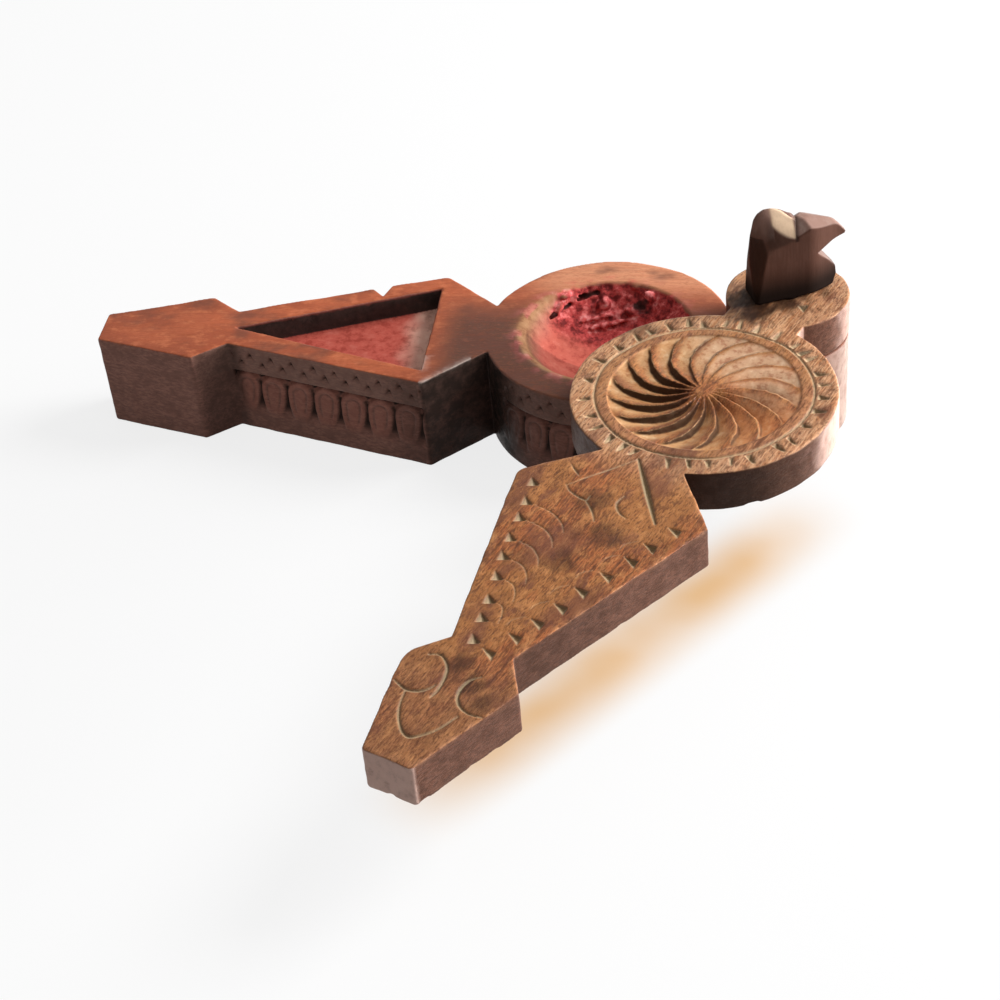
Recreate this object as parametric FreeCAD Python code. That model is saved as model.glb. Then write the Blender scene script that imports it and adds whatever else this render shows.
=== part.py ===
"""Carved wooden box for devotional powder, with a lid that swivels on a bird-headed peg.

The tray and the lid share one outline: a tapering finial, an arm that flares to a shoulder,
a disc, and a small round lobe. The peg passes down through the two lobes, and a cross pin
in a recess under the tray keeps it there. The lid is drawn swung open.

Frame: millimetres, +Z up, origin under the centre of the disc on the face that the tray
rests on, +X from the finial towards the pivot.
"""

import FreeCAD
import Part
import math
import os

VECTOR = FreeCAD.Vector
UP = VECTOR(0, 0, 1)

# Outline shared by the tray and the lid, measured from the centre of the disc
DISC_RADIUS = 26.0
PIVOT_DISTANCE = 37.3
LOBE_RADIUS = 12.6
LOBE_NECK_HALF_WIDTH = 8.2
WAIST_DISTANCE = 25.9
WAIST_HALF_WIDTH = 10.0
SHOULDER_DISTANCE = 36.7
SHOULDER_HALF_WIDTH = 20.0
ARM_LENGTH = 44.2
NECK_HALF_WIDTH = 6.3
NECK_LENGTH = 6.8
FINIAL_HALF_WIDTH = 11.5
FINIAL_LENGTH = 22.4
TIP_HALF_WIDTH = 4.9

# Hand wear on the upright corners: the rear side of the lid is worn roundest
TRAY_REAR_FINIAL_ROUND = 1.0
TRAY_REAR_SHOULDER_ROUND = 2.0
LID_REAR_FINIAL_ROUND = 5.0
LID_REAR_SHOULDER_ROUND = 3.0
FRONT_ROUND = 0.7
TIP_ROUND = 0.9

# Tray
TRAY_HEIGHT = 21.7
BOWL_RADIUS = 17.8
BOWL_DEPTH = 11.0
WELL_WALL = 4.7
WELL_APEX_SETBACK = 0.5
WELL_SHOULDER_SETBACK = 0.8
WELL_DEPTH = 5.4
CRUST_DEPTH = 1.2

# Lid
LID_THICKNESS = 8.9
LID_PLAY = 0.15
LID_OPEN_DEGREES = 65.5
ROSETTE_RADIUS = 18.6
ROSETTE_HUB_RADIUS = 2.6
ROSETTE_DEPTH = 1.1
ROSETTE_FLUTES = 18
ROSETTE_SWIRL_DEGREES = 28.0
ROSETTE_SWIRL_POWER = 1.7
FLUTE_SHARE_OF_PITCH = 0.62
RING_RADIUS = 21.3
RING_GROOVE_WIDTH = 0.9
RING_GROOVE_DEPTH = 0.5

# Peg, its bird head and its cross pin
PEG_RADIUS = 2.3
PEG_PLAY = 0.06
PEG_END_MARGIN = 1.2
BIRD_PLAY = 0.1
BIRD_TURN_DEGREES = 21.3
BIRD_THICKNESS = 7.0
BIRD_SET_BACK = 1.1
BIRD_HEAD_THICKNESS = 2.6
BIRD_HEAD_TAPER_HEIGHT = 12.5
BIRD_CHEST_THICKNESS = 5.0
BIRD_TAIL_TIP_THICKNESS = 1.6
PIN_RADIUS = 1.0
PIN_LENGTH = 10.0
PIN_PLAY = 0.02
PIN_BEARING_PLAY = 0.15
RECESS_ROOM = 1.4
RECESS_DEPTH = 4.6

# Points of the bird's side view: along from the peg's axis, then up from the bird's foot
BIRD_POINTS = {
    "chest_foot": (-7.7, 0.0),
    "chest": (-8.5, 7.8),
    "brow": (-8.4, 14.0),
    "face": (-7.4, 18.2),
    "crown_front": (-5.8, 19.5),
    "crown_back": (-4.0, 19.5),
    "nape": (-1.3, 17.9),
    "back": (0.4, 16.4),
    "rump": (5.0, 15.8),
    "tail_top": (9.4, 13.5),
    "tail_tip": (11.6, 11.4),
    "tail_under": (11.2, 10.6),
    "throat": (5.7, 8.6),
    "flare": (9.8, 4.0),
    "flare_low": (10.1, 2.6),
    "tail_foot": (9.1, 0.0),
}

# Room that a cutter passes beyond the face that it enters
OVERCUT = 1.0

# Points nearer to each other than this are one corner
SAME_PLACE = 0.0001

# Places that follow from the sizes above
NECK_DISTANCE = SHOULDER_DISTANCE + ARM_LENGTH
FINIAL_DISTANCE = NECK_DISTANCE + NECK_LENGTH
TIP_DISTANCE = FINIAL_DISTANCE + FINIAL_LENGTH
LID_BOTTOM = TRAY_HEIGHT + LID_PLAY
LID_TOP = LID_BOTTOM + LID_THICKNESS
BIRD_BOTTOM = LID_TOP + BIRD_PLAY
BIRD_CHEST_END = min(along for along, _ in BIRD_POINTS.values())
BIRD_TAIL_END = max(along for along, _ in BIRD_POINTS.values())
BIRD_HEIGHT = max(rise for _, rise in BIRD_POINTS.values())
RECESS_RADIUS = PIN_LENGTH / 2 + RECESS_ROOM
PIN_HEIGHT = RECESS_DEPTH - PIN_BEARING_PLAY - PIN_RADIUS
PEG_BOTTOM = PIN_HEIGHT - PIN_RADIUS - PEG_END_MARGIN
BOWL_SPHERE_RADIUS = (BOWL_RADIUS**2 + BOWL_DEPTH**2) / (2 * BOWL_DEPTH)
PIVOT = VECTOR(PIVOT_DISTANCE, 0, 0)


def prism(points, direction):
    """A solid: the polygon through the points, moved along the direction."""
    return Part.Face(Part.makePolygon(points + points[:1])).extrude(direction)


def upright_edges(solid, corners):
    """The solid's vertical edges that stand at the given (x, y) corners."""
    found = []
    for edge in solid.Edges:
        ends = [vertex.Point for vertex in edge.Vertexes]
        for x, y in corners:
            if all(math.hypot(end.x - x, end.y - y) < SAME_PLACE for end in ends):
                found.append(edge)
    return found


def outline_block(bottom, height, rear_finial_round, rear_shoulder_round):
    """The outline that tray and lid share, as a block with its upright corners worn round."""
    side = [
        (-TIP_DISTANCE, TIP_HALF_WIDTH),
        (-FINIAL_DISTANCE, FINIAL_HALF_WIDTH),
        (-NECK_DISTANCE, NECK_HALF_WIDTH),
        (-SHOULDER_DISTANCE, SHOULDER_HALF_WIDTH),
        (-WAIST_DISTANCE, WAIST_HALF_WIDTH),
        (0, WAIST_HALF_WIDTH),
    ]
    rear = [VECTOR(x, y, bottom) for x, y in side]
    front = [VECTOR(x, -y, bottom) for x, y in reversed(side)]
    rise = UP * height
    arm = prism(rear + front, rise)
    disc = Part.makeCylinder(DISC_RADIUS, height, VECTOR(0, 0, bottom))
    lobe = Part.makeCylinder(LOBE_RADIUS, height, VECTOR(PIVOT_DISTANCE, 0, bottom))
    neck_bar = Part.makeBox(
        PIVOT_DISTANCE, 2 * LOBE_NECK_HALF_WIDTH, height, VECTOR(0, -LOBE_NECK_HALF_WIDTH, bottom)
    )
    block = arm.fuse([disc, lobe, neck_bar]).removeSplitter()
    tip, finial, _, shoulder = side[:4]
    rounds = [
        (rear_finial_round, [finial]),
        (rear_shoulder_round, [shoulder]),
        (TIP_ROUND, [tip, (tip[0], -tip[1])]),
        (FRONT_ROUND, [(finial[0], -finial[1]), (shoulder[0], -shoulder[1])]),
    ]
    for radius, corners in rounds:
        block = block.makeFillet(radius, upright_edges(block, corners))
    return block


def bowl_sphere():
    """The ball whose lower cap is the round bowl."""
    centre = VECTOR(0, 0, TRAY_HEIGHT - BOWL_DEPTH + BOWL_SPHERE_RADIUS)
    return Part.makeSphere(BOWL_SPHERE_RADIUS, centre)


def peg_hole(bottom, height):
    """The hole that the peg turns in."""
    return Part.makeCylinder(PEG_RADIUS + PEG_PLAY, height, VECTOR(PIVOT_DISTANCE, 0, bottom))


def make_tray():
    """The thick lower block with its three-cornered well, round bowl, peg hole and pin recess."""
    well_floor = TRAY_HEIGHT - WELL_DEPTH
    well_end = -SHOULDER_DISTANCE - WELL_SHOULDER_SETBACK
    well_half_width = SHOULDER_HALF_WIDTH - WELL_WALL
    well = prism(
        [
            VECTOR(-NECK_DISTANCE + WELL_APEX_SETBACK, 0, well_floor),
            VECTOR(well_end, -well_half_width, well_floor),
            VECTOR(well_end, well_half_width, well_floor),
        ],
        UP * (WELL_DEPTH + OVERCUT),
    )
    recess = Part.makeCylinder(
        RECESS_RADIUS, RECESS_DEPTH + OVERCUT, VECTOR(PIVOT_DISTANCE, 0, -OVERCUT)
    )
    cutters = [bowl_sphere(), well, recess, peg_hole(0, TRAY_HEIGHT + OVERCUT)]
    block = outline_block(0, TRAY_HEIGHT, TRAY_REAR_FINIAL_ROUND, TRAY_REAR_SHOULDER_ROUND)
    return block.cut(cutters)


def make_crust():
    """Dried red powder caked in the bottom of the bowl."""
    bowl_floor = TRAY_HEIGHT - BOWL_DEPTH
    corner = VECTOR(-BOWL_RADIUS, -BOWL_RADIUS, bowl_floor - OVERCUT)
    slab = Part.makeBox(2 * BOWL_RADIUS, 2 * BOWL_RADIUS, OVERCUT + CRUST_DEPTH, corner)
    return bowl_sphere().common(slab)


def rosette_point(radius, rim_degrees):
    """A point of the rosette on a line that swirls clockwise from the hub to its angle at the rim."""
    reach = (radius - ROSETTE_HUB_RADIUS) / (ROSETTE_RADIUS - ROSETTE_HUB_RADIUS)
    angle = math.radians(rim_degrees + ROSETTE_SWIRL_DEGREES * (1 - reach**ROSETTE_SWIRL_POWER))
    return VECTOR(radius * math.cos(angle), radius * math.sin(angle), LID_TOP - ROSETTE_DEPTH)


def rosette_flutes():
    """The crescent cutters of the rosette, one for each flute."""
    pitch = 360.0 / ROSETTE_FLUTES
    middle_radius = (ROSETTE_HUB_RADIUS + ROSETTE_RADIUS) / 2
    flutes = []
    for index in range(ROSETTE_FLUTES):
        turn = index * pitch
        hub_end = rosette_point(ROSETTE_HUB_RADIUS, turn)
        rim_end = rosette_point(ROSETTE_RADIUS, turn)
        ridge = Part.Arc(hub_end, rosette_point(middle_radius, turn), rim_end)
        swell = rosette_point(middle_radius, turn + FLUTE_SHARE_OF_PITCH * pitch)
        slope = Part.Arc(rim_end, swell, hub_end)
        crescent = Part.Face(Part.Wire([ridge.toShape(), slope.toShape()]))
        flutes.append(crescent.extrude(UP * (ROSETTE_DEPTH + OVERCUT)))
    return flutes


def ring_groove():
    """The V groove that rings the rosette."""
    half = RING_GROOVE_WIDTH / 2
    section = Part.makePolygon(
        [
            VECTOR(RING_RADIUS - half, 0, LID_TOP),
            VECTOR(RING_RADIUS + half, 0, LID_TOP),
            VECTOR(RING_RADIUS, 0, LID_TOP - RING_GROOVE_DEPTH),
            VECTOR(RING_RADIUS - half, 0, LID_TOP),
        ]
    )
    return Part.Face(section).revolve(VECTOR(0, 0, 0), UP, 360)


def make_lid():
    """The thinner upper board, carved on top and swung open about the peg."""
    hole = peg_hole(LID_BOTTOM - OVERCUT, LID_THICKNESS + 2 * OVERCUT)
    cutters = rosette_flutes() + [ring_groove(), hole]
    block = outline_block(LID_BOTTOM, LID_THICKNESS, LID_REAR_FINIAL_ROUND, LID_REAR_SHOULDER_ROUND)
    lid = block.cut(cutters)
    lid.rotate(PIVOT, UP, LID_OPEN_DEGREES)
    return lid


def make_bird():
    """The bird: its side view cut from a thick slip, narrowed at the head, chest and tail."""
    half = BIRD_THICKNESS / 2
    body = prism(
        [VECTOR(along, -half, rise) for along, rise in BIRD_POINTS.values()],
        VECTOR(0, BIRD_THICKNESS, 0),
    )
    plan_half = [
        (BIRD_CHEST_END, BIRD_CHEST_THICKNESS / 2),
        (BIRD_CHEST_END / 2, half),
        (BIRD_TAIL_END / 2, half),
        (BIRD_TAIL_END, BIRD_TAIL_TIP_THICKNESS / 2),
    ]
    plan = [VECTOR(along, wide, 0) for along, wide in plan_half]
    plan += [VECTOR(along, -wide, 0) for along, wide in reversed(plan_half)]
    end_half = [(half, 0), (half, BIRD_HEAD_TAPER_HEIGHT), (BIRD_HEAD_THICKNESS / 2, BIRD_HEIGHT)]
    end_view = [VECTOR(BIRD_CHEST_END, wide, rise) for wide, rise in end_half]
    end_view += [VECTOR(BIRD_CHEST_END, -wide, rise) for wide, rise in reversed(end_half)]
    bird = body.common(prism(plan, UP * BIRD_HEIGHT))
    bird = bird.common(prism(end_view, VECTOR(BIRD_TAIL_END - BIRD_CHEST_END, 0, 0)))
    bird.translate(VECTOR(PIVOT_DISTANCE, BIRD_SET_BACK, BIRD_BOTTOM))
    return bird


def cross_pin(radius, length):
    """A rod across the foot of the peg."""
    start = VECTOR(PIVOT_DISTANCE, -length / 2, PIN_HEIGHT)
    return Part.makeCylinder(radius, length, start, VECTOR(0, 1, 0))


def make_peg():
    """The bird and the round shank below it, carved from one piece, with a hole for the cross pin."""
    shank_length = BIRD_BOTTOM - PEG_BOTTOM
    shank = Part.makeCylinder(PEG_RADIUS, shank_length, VECTOR(PIVOT_DISTANCE, 0, PEG_BOTTOM))
    pin_hole = cross_pin(PIN_RADIUS + PIN_PLAY, PIN_LENGTH)
    peg = make_bird().fuse(shank).removeSplitter().cut(pin_hole)
    peg.rotate(PIVOT, UP, BIRD_TURN_DEGREES)
    return peg


def make_pin():
    """The rod through the foot of the peg, which bears on the ceiling of the recess."""
    pin = cross_pin(PIN_RADIUS, PIN_LENGTH)
    pin.rotate(PIVOT, UP, BIRD_TURN_DEGREES)
    return pin


def main():
    """Writes one file for each piece."""
    pieces = {
        "base_tray": make_tray(),
        "pigment_crust": make_crust(),
        "swivel_lid": make_lid(),
        "bird_peg": make_peg(),
        "cross_pin": make_pin(),
    }
    os.makedirs("parts", exist_ok=True)
    for name, shape in pieces.items():
        shape.exportStep(f"parts/{name}.step")
        print(name, len(shape.Solids), "solid, valid", shape.isValid(), "volume", round(shape.Volume, 1))


main()
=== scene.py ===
"""Looks of the carved wooden powder box: its boards, bird peg, cross pin and caked red powder.

Each board is carved in a grid of distances, in millimetres, with the lid closed over the tray,
and is then turned into a mesh. The lid is swung open at the end.
"""

import math

import bpy
import numpy as np
import openvdb
from mathutils import Matrix, Vector


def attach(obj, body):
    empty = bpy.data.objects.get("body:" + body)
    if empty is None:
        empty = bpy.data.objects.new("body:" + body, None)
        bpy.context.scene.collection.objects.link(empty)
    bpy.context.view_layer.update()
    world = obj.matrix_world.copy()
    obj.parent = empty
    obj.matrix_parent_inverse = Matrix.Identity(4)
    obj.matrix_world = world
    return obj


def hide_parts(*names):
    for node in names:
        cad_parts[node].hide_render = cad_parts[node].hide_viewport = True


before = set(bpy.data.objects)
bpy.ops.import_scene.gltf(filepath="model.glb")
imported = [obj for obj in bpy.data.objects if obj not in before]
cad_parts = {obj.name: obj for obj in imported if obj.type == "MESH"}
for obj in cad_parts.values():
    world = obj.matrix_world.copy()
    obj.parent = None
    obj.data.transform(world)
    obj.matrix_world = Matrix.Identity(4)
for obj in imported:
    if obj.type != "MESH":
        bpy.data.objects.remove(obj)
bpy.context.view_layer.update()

MM = 0.001

# Outline shared by the tray and the lid, measured from the centre of the disc
DISC_RADIUS = 26.0
PIVOT_X = 37.3
LOBE_RADIUS = 12.6
LOBE_NECK_HALF_WIDTH = 8.2
WAIST = (-24.5, 8.7)
SHOULDER = (-36.7, 20.0)
NECK = (-80.9, 6.3)
FINIAL = (-87.7, 11.5)
TIP = (-110.1, 4.9)
FRONT_ROUND = 0.7
TIP_ROUND = 0.9
TRAY_REAR_ROUNDS = {"finial": 1.0, "shoulder": 2.0}
LID_REAR_ROUNDS = {"finial": 5.0, "shoulder": 3.0}

# Heights
TRAY_TOP = 21.7
LID_BOTTOM = 21.85
LID_TOP = 30.75
BIRD_BOTTOM = 30.85
LID_OPEN = math.radians(65.5)

# Hollows of the tray
BOWL_RADIUS = 17.8
BOWL_DEPTH = 11.0
WELL = [(-80.4, 0.0), (-37.5, -15.3), (-37.5, 15.3)]
WELL_DEPTH = 5.4
PEG_HOLE_RADIUS = 2.36
RECESS_RADIUS = 6.4
RECESS_DEPTH = 4.6
CRUST_DEPTH = 1.2

# Fineness of the carving grids and the most triangles a piece keeps
LID_VOXEL = 0.23
TRAY_VOXEL = 0.3
BIRD_VOXEL = 0.14
CRUST_VOXEL = 0.12
PIN_VOXEL = 0.1
MOST_TRIANGLES = 190000


# Numbers that vary over space

LATTICE_SIZE = 64
LATTICE = np.random.default_rng(11).random((LATTICE_SIZE,) * 3).astype(np.float32) * 2 - 1


def ramp(low, high, value):
    """From 0 where the value is low to 1 where it is high, eased at both ends."""
    share = np.clip((value - low) / (high - low), 0, 1)
    return share * share * (3 - 2 * share)


def noise(x, y, z):
    """Smooth noise from -1 to 1 with one bump to a unit."""
    x, y, z = np.broadcast_arrays(x, y, z)
    whole = [np.floor(axis).astype(np.int32) for axis in (x, y, z)]
    part = [axis - start for axis, start in zip((x, y, z), whole)]
    part = [share * share * (3 - 2 * share) for share in part]
    total = np.zeros(x.shape, np.float32)
    for corner in np.ndindex(2, 2, 2):
        weight = 1.0
        for step, share in zip(corner, part):
            weight = weight * (share if step else 1 - share)
        place = tuple((start + step) % LATTICE_SIZE for start, step in zip(whole, corner))
        total += weight * LATTICE[place]
    return total


def smooth_max(a, b, width):
    """The larger of two distances, with the corner between them rounded over the width."""
    share = np.clip(0.5 + 0.5 * (a - b) / width, 0, 1)
    return b + (a - b) * share + width * share * (1 - share)


# Flat shapes

def rounded(corners, radii, steps=8):
    """The polygon's points with each corner replaced by an arc of its radius."""
    points = []
    count = len(corners)
    for index, corner in enumerate(corners):
        here = np.array(corner)
        before = np.array(corners[index - 1]) - here
        after = np.array(corners[(index + 1) % count]) - here
        before = before / np.linalg.norm(before)
        after = after / np.linalg.norm(after)
        radius = radii[index]
        if radius == 0:
            points.append(here)
            continue
        half_angle = math.acos(float(before @ after)) / 2
        middle = (before + after) / np.linalg.norm(before + after)
        centre = here + middle * radius / math.sin(half_angle)
        start = here + before * radius / math.tan(half_angle) - centre
        end = here + after * radius / math.tan(half_angle) - centre
        for share in np.linspace(0, 1, steps):
            spoke = start * (1 - share) + end * share
            points.append(centre + spoke / np.linalg.norm(spoke) * radius)
    return points


def to_segment(x, y, start, end):
    """The distance from each point to a segment, and how far along it the nearest place is."""
    run = (end[0] - start[0], end[1] - start[1])
    length2 = run[0] ** 2 + run[1] ** 2
    along = np.clip(((x - start[0]) * run[0] + (y - start[1]) * run[1]) / length2, 0, 1)
    return np.hypot(x - start[0] - along * run[0], y - start[1] - along * run[1]), along


def in_polygon(x, y, points):
    """The signed distance to a polygon, negative inside."""
    nearest = np.full(x.shape, np.inf)
    inside = np.zeros(x.shape, bool)
    for start, end in zip(points, points[1:] + points[:1]):
        nearest = np.minimum(nearest, to_segment(x, y, start, end)[0])
        if start[1] != end[1]:
            crossing = start[0] + (y - start[1]) * (end[0] - start[0]) / (end[1] - start[1])
            inside ^= ((start[1] > y) != (end[1] > y)) & (x < crossing)
    return np.where(inside, -nearest, nearest)


def outline(x, y, rear_rounds):
    """The signed distance to the outline that the two boards share."""
    rear = [TIP, FINIAL, NECK, SHOULDER, WAIST, (0.0, WAIST[1])]
    rear_radii = [TIP_ROUND, rear_rounds["finial"], 0, rear_rounds["shoulder"], 0, 0]
    front_radii = [TIP_ROUND, FRONT_ROUND, 0, FRONT_ROUND, 0, 0]
    corners = rear + [(along, -across) for along, across in reversed(rear)]
    distance = in_polygon(x, y, rounded(corners, rear_radii + front_radii[::-1]))
    distance = np.minimum(distance, np.hypot(x, y) - DISC_RADIUS)
    distance = np.minimum(distance, np.hypot(x - PIVOT_X, y) - LOBE_RADIUS)
    bar = np.maximum(np.abs(x - PIVOT_X / 2) - PIVOT_X / 2, np.abs(y) - LOBE_NECK_HALF_WIDTH)
    return np.minimum(distance, bar)


# Cuts, as depths below a face

def chip(x, y, corners, deepest, depth):
    """A pit whose floor runs down from its straight sides to its deepest point."""
    share = np.full(x.shape, np.inf)
    for start, end in zip(corners, corners[1:] + corners[:1]):
        across = (end[1] - start[1], start[0] - end[0])
        reach = (deepest[0] - start[0]) * across[0] + (deepest[1] - start[1]) * across[1]
        share = np.minimum(share, ((x - start[0]) * across[0] + (y - start[1]) * across[1]) / reach)
    return depth * np.clip(share, 0, None)


def chip_at(x, y, place, corners, deepest, depth):
    """A chip whose corners and deepest point are given from its own place."""
    corners = [(place[0] + corner[0], place[1] + corner[1]) for corner in corners]
    return chip(x, y, corners, (place[0] + deepest[0], place[1] + deepest[1]), depth)


def stroke(x, y, points, width, depth):
    """A V-shaped engraved line through the points that thins out at its two ends."""
    cut = np.zeros(x.shape)
    pieces = len(points) - 1
    for index, (start, end) in enumerate(zip(points, points[1:])):
        distance, along = to_segment(x, y, start, end)
        place = (index + along) / pieces
        swell = 0.55 + 0.45 * np.sin(np.pi * place)
        cut = np.maximum(cut, depth * swell * np.clip(1 - distance / (width / 2 * swell), 0, None))
    return cut


def curve_through(points, steps=5):
    """More points on a smooth curve through the points."""
    points = [np.array(point, float) for point in points]
    padded = [2 * points[0] - points[1]] + points + [2 * points[-1] - points[-2]]
    smooth = []
    for a, b, c, d in zip(padded, padded[1:], padded[2:], padded[3:]):
        for t in np.arange(steps) / steps:
            smooth.append(0.5 * (2 * b + (c - a) * t + (2 * a - 5 * b + 4 * c - d) * t**2
                                 + (3 * b - a - 3 * c + d) * t**3))
    return smooth + [points[-1]]


# Rosette on the lid
ROSETTE_RADIUS = 18.7
ROSETTE_HUB = 1.6
ROSETTE_FLUTES = 18
ROSETTE_SWIRL = 30.0
ROSETTE_SWIRL_POWER = 1.7
ROSETTE_DEEP = 1.5
RING_RADIUS = 21.2


def rosette(x, y):
    """Depth of the flutes that swirl from the hub, the shade painted dark on their steep sides, and their
    slopes' colours.

    The slopes are golden, on the right pink and at the bottom orange: the carved wood's colour, laid on where
    a slope is painted as lit.
    """
    radius = np.hypot(x, y)
    angle = np.degrees(np.arctan2(y, x)) % 360
    reach = np.clip((radius - ROSETTE_HUB) / (ROSETTE_RADIUS - ROSETTE_HUB), 0, 1)
    turn = (angle - ROSETTE_SWIRL * (1 - reach**ROSETTE_SWIRL_POWER)) / (360 / ROSETTE_FLUTES)
    turn = turn + 0.07 * noise(x / 5, y / 5, 3.1) + 0.045 * noise(x / 1.3, y / 1.3, 17.0)
    across = turn % 1.0
    uneven = 0.85 + 0.3 * np.abs(noise(np.floor(turn) * 3.7, 0.5, 8.3))
    worn_side = ramp(0.3, 0.9, np.cos(np.radians(angle + 2)))
    lower_side = ramp(0.1, 0.9, np.cos(np.radians(angle - 285)))
    right_side = ramp(0.2, 0.9, np.cos(np.radians(angle + 25)))
    belly = np.clip(np.sin(np.pi * reach**0.8), 0, 1) ** 0.7
    strength = uneven * (1 - 0.8 * worn_side)
    dark_end = 0.05 + 0.23 * belly * strength * (1 - 0.15 * lower_side)
    drop = ramp(0.0, 0.05 + 0.7 * dark_end, across)
    rise = np.clip((1.0 - across) / (1 - 0.8 * dark_end), 0, 1) ** (1 + 0.6 * lower_side)
    bed = 0.25 * ramp(0.05, 0.4, reach)
    inside = 1 - ramp(ROSETTE_RADIUS - 0.25, ROSETTE_RADIUS + 0.15, radius)
    # Painted shade: the steep sides are painted dark, and the upper ridges get a thin dark line.
    shade = ramp(0.0, 0.04, across) * ramp(dark_end + 0.06, dark_end - 0.05, across)
    shade = shade * inside * ramp(0.03, 0.15, reach) * ramp(1.0, 0.93, reach)
    shade = shade * (1 - 0.3 * worn_side) * (1 - 0.15 * lower_side)
    ridge = inside * ramp(0.93, 0.98, across) * ramp(0.0, 0.1, reach)
    shade = np.maximum(shade, 0.35 * ridge * (1 - lower_side))
    # Painted light: the share of each slope painted as lit, which takes the golden coats; the lower ridges
    # get a painted highlight.
    lit = inside * ramp(0.95, 0.3 + 0.3 * worn_side, across) * ramp(0.08, 0.6, reach)
    blush = lit * right_side
    petal = np.maximum(lit * (1 - 0.75 * lower_side), 0.8 * ridge * lower_side)
    depth = inside * (bed + ROSETTE_DEEP * strength * drop * rise * belly)
    return depth, shade, petal, blush, lit * lower_side


# Chips round the lid's border: their directions from the disc's centre in degrees, how far they
# reach, half the width of their outer ends, and how much each corner draws the deepest point
BORDER_NICK_ANGLES = (18, 28, 36, 45, 54, 65, 77, 92, 107, 122, 136, 146, 156, 165, 175,
                      -170, -160, -151, -141, -130, -118, -107, -96, -83, -70, -60, -50, -38, -29, -21,
                      -12, -1, 8)
BORDER_INNER = 21.6
BORDER_OUTER = 25.0
BORDER_NICK_END = 0.35
BORDER_NICK_PULL = (0.45, 0.15, 0.15, 0.25)
# Chips along the arm's edges and on the lobe: corners and deepest point from each chip's own place
EDGE_NICKS = 9
EDGE_NICK_PITCH = 5.2
EDGE_NICK_INSET = 4.1
REAR_NICK_START = -38.7
REAR_NICK = [(-1.4, 0.7), (1.5, 1.3), (-0.1, -1.6)]
REAR_NICK_DEEPEST = (0.0, -0.5)
FRONT_NICK_START = -40.6
FRONT_NICK = [(-1.4, -1.4), (0.9, 2.0), (1.0, -1.1)]
FRONT_NICK_DEEPEST = (0.4, -0.3)
LOBE_NICK_PLACE = (33.7, -5.1)
LOBE_NICK = [(-1.7, -0.9), (1.6, -0.7), (0.2, 1.3)]
LOBE_NICK_DEEPEST = (0.0, 0.0)
# Engraved lines on the arm and the finial
LAYOUT_CORNER = (-24.3, 1.0)
DEEP_GROOVE = [LAYOUT_CORNER, (-39.5, -10.7)]
FINE_LINE = [LAYOUT_CORNER, (-30.1, 4.9), (-36.8, 9.3)]
HOOK = [(-36.6, 9.4), (-38.1, 7.6), (-39.1, 4.0), (-37.7, 3.6)]
HOOK_TAIL = [(-39.1, 3.9), (-41.3, 1.3), (-43.8, -0.6)]
TICK = [(-31.0, 11.6), (-33.4, 8.5)]
SMALL_CURL = [(-35.0, -2.0), (-37.4, -1.7), (-39.5, -3.2), (-40.6, -5.4)]
FINIAL_EYE = [(-86.4, 7.2), (-85.6, 5.3), (-87.3, 2.9), (-90.0, 1.7), (-93.0, 1.2), (-95.0, 1.3)]
FINIAL_EYE_BACK = [(-94.2, 9.0), (-95.1, 6.3), (-94.8, 4.4), (-93.6, 2.9), (-92.0, 2.1)]
FINIAL_SWEEP = [(-95.3, 6.0), (-98.6, 4.9), (-101.3, 3.3), (-103.5, 1.2), (-104.1, -0.6), (-102.7, -2.3),
                (-100.3, -4.0), (-96.6, -5.2)]
FINIAL_CURL = [(-87.0, -3.7), (-88.5, -2.4), (-90.7, -2.1), (-92.9, -2.7), (-94.6, -4.3), (-95.3, -6.4),
               (-95.1, -8.8)]
# A depth at which a cut is quite pale, and the depths between which it is painted dark with shade
PALE_DEPTH = 0.6
DARK_DEPTHS = (0.8, 1.2)
# How far grime has gathered round the cuts
GRIME_REACH = 0.9
# Dark stains on the lid: place, reach and strength. Those on the lobe, round the bird's foot, are the bird's
# shadow painted on
LID_STAINS_AND_BIRD_SHADOW = [(-38.5, 2.2, 3.6, 0.6), (-46.3, -4.3, 3.4, 0.6), (-56.0, -0.5, 3.0, 0.5),
              (-89.7, -3.2, 3.0, 0.7), (-85.8, 1.0, 2.4, 0.7), (-92.5, -7.0, 2.2, 0.6),
              (14.0, 21.5, 3.6, 0.6), (31.4, 4.6, 5.4, 1.0), (28.2, 6.4, 4.6, 0.7), (28.6, 3.2, 4.6, 1.0),
              (33.6, -1.2, 3.2, 0.95), (37.0, -4.2, 1.9, 0.7), (40.6, -7.0, 1.6, 0.6)]
# Unit direction of the main light, turned with the lid back to its closed place; the cuts' facets that are
# turned from it are painted dark with shade
KEY_SEEN_BY_LID = np.array([0.562, -0.470, 0.680])
# Direction to the right of the picture, turned in the same way; the sides that face it get a painted pale
# sheen
RIGHT_SEEN_BY_LID = np.array([0.53, -0.85, 0.0])


def arm_edge(x):
    """Half the width of the arm at a distance along it."""
    slope = (SHOULDER[1] - NECK[1]) / (SHOULDER[0] - NECK[0])
    return NECK[1] + (x - NECK[0]) * slope


def border_nicks(x, y, rng):
    """Depth of the chips round the disc's border, no two alike."""
    cut = np.zeros(x.shape)
    for degrees in BORDER_NICK_ANGLES:
        turn = math.radians(degrees) + rng.normal(0, 0.02)
        out = np.array([math.cos(turn), math.sin(turn)])
        side = np.array([-out[1], out[0]])
        inner = out * (BORDER_INNER + rng.uniform(-0.2, 0.3))
        outer = out * (BORDER_OUTER + rng.uniform(-1.1, 0.3))
        half = rng.uniform(0.55, 1.0)
        lean = side * rng.uniform(-0.8, 0.9)
        corners = [inner - side * half, outer + lean - BORDER_NICK_END * side,
                   outer + lean + BORDER_NICK_END * side, inner + side * half]
        deepest = np.average(corners, axis=0, weights=BORDER_NICK_PULL)
        cut = np.maximum(cut, chip(x, y, corners, deepest, rng.uniform(0.7, 1.15)))
    return cut


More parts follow.
